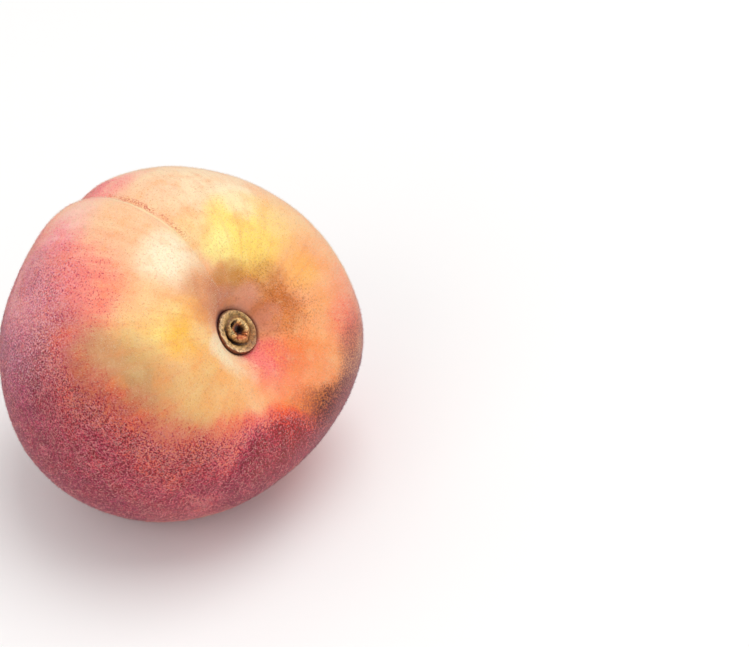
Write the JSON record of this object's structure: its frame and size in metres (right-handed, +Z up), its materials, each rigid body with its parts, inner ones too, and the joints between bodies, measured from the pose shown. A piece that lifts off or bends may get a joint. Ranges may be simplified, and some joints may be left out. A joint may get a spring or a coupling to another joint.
{
  "type": "peach",
  "caption": "Ripe peach lying on its cheek, with a suture groove, a stem hollow and the woody button left by the stalk.",
  "frame": {"origin": "middle of the small flat spot that the fruit rests on, at table height", "axes": "+Z up; the stem end points towards +X and -Y and about 36 degrees up, so -Y is the side that shows the stem hollow"},
  "size_m": [0.0728, 0.0727, 0.0678],
  "materials": {
    "peach_skin": "matte",
    "stalk_wood": "matte"
  },
  "bodies": {
    "root": {"fruit": "peach_skin", "stalk_button": "stalk_wood"}
  },
  "joints": []
}
